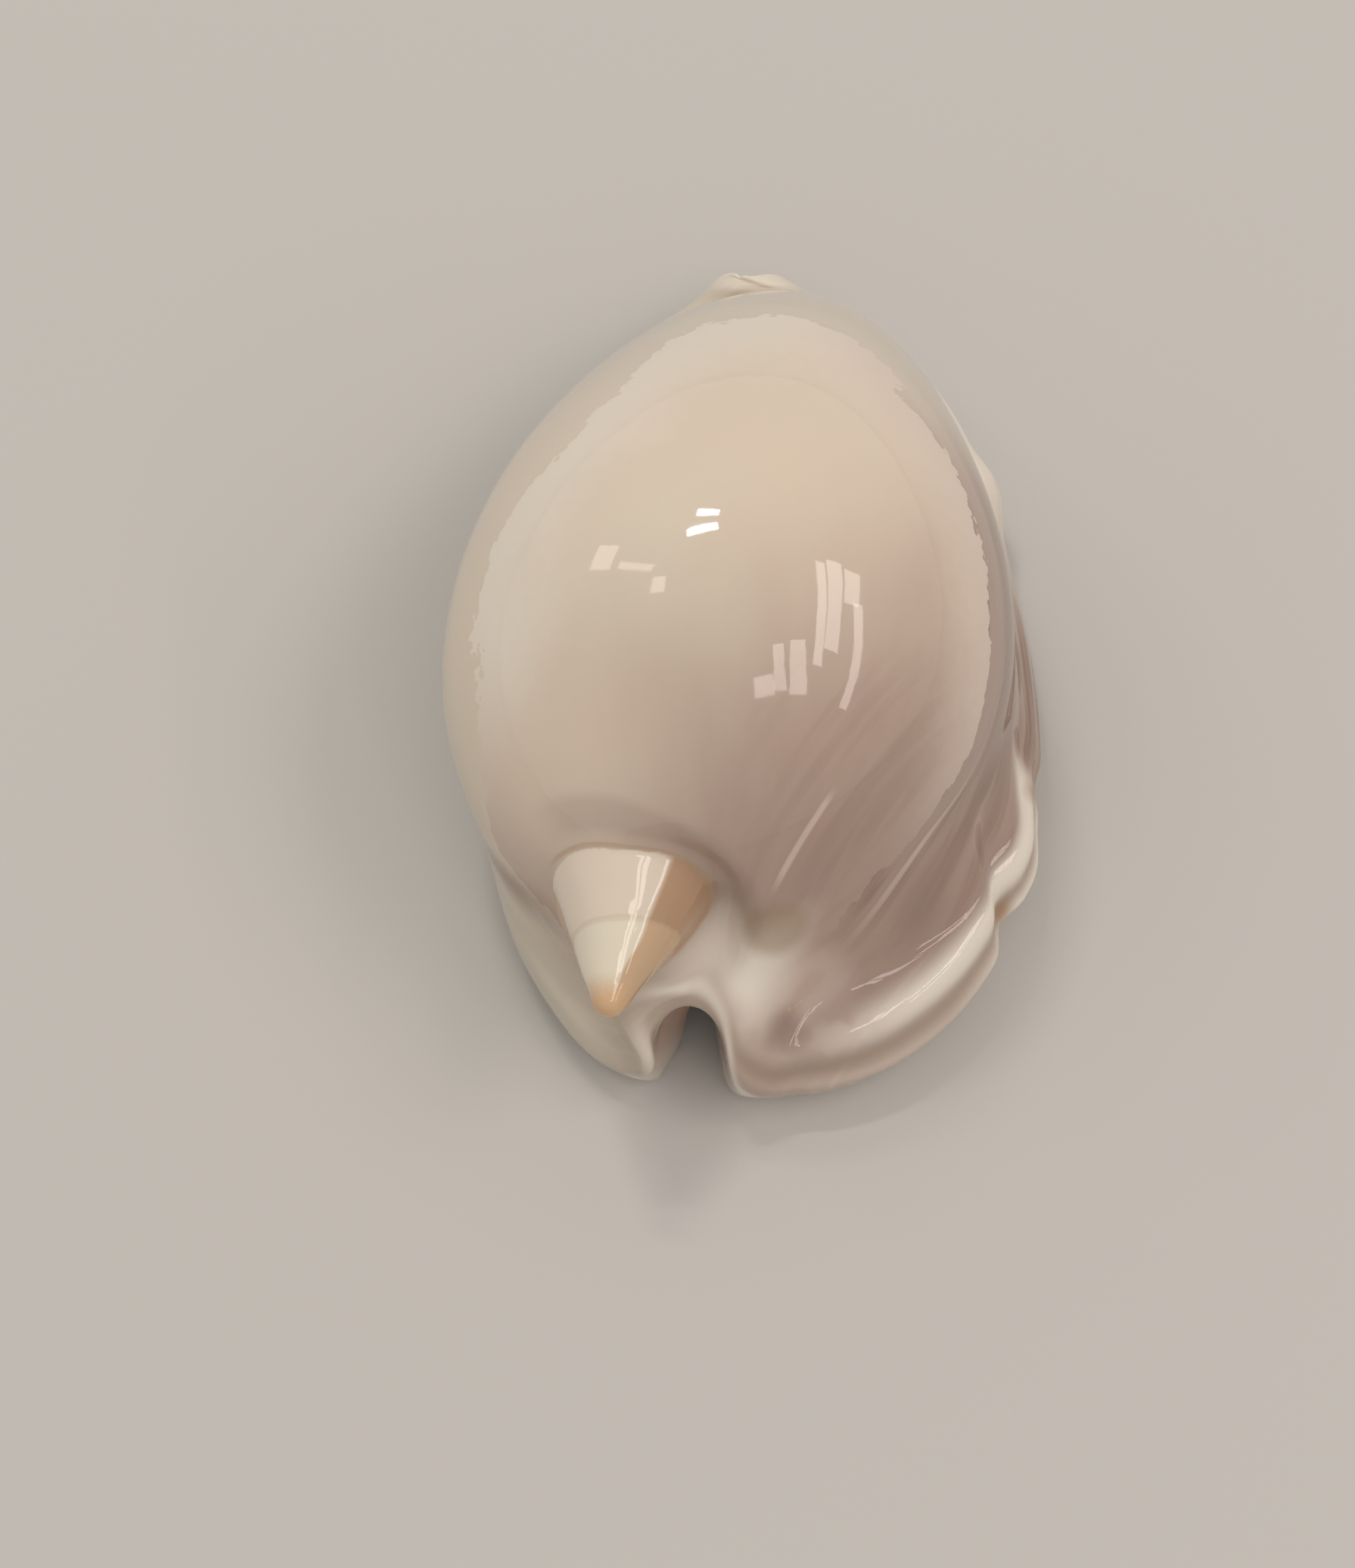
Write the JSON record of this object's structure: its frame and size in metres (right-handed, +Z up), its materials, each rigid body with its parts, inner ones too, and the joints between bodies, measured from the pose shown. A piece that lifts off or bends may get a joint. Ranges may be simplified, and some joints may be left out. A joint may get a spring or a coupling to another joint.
{
  "type": "cowrie shell",
  "caption": "Glossy egg-shaped sea shell with a flared margin, an exposed pointed spire and a long narrow slit along its base; it rests on the base.",
  "frame": {"origin": "middle of the shell's box in plan, at the level of the surface that the base rests on", "axes": "+Z up through the back; +Y along the shell towards its front end, so the spire points to -Y; +X towards the outer-lip side"},
  "size_m": [0.0406, 0.0608, 0.0313],
  "materials": {
    "shell": "gloss"
  },
  "bodies": {
    "root": {"shell": "shell"}
  },
  "joints": []
}
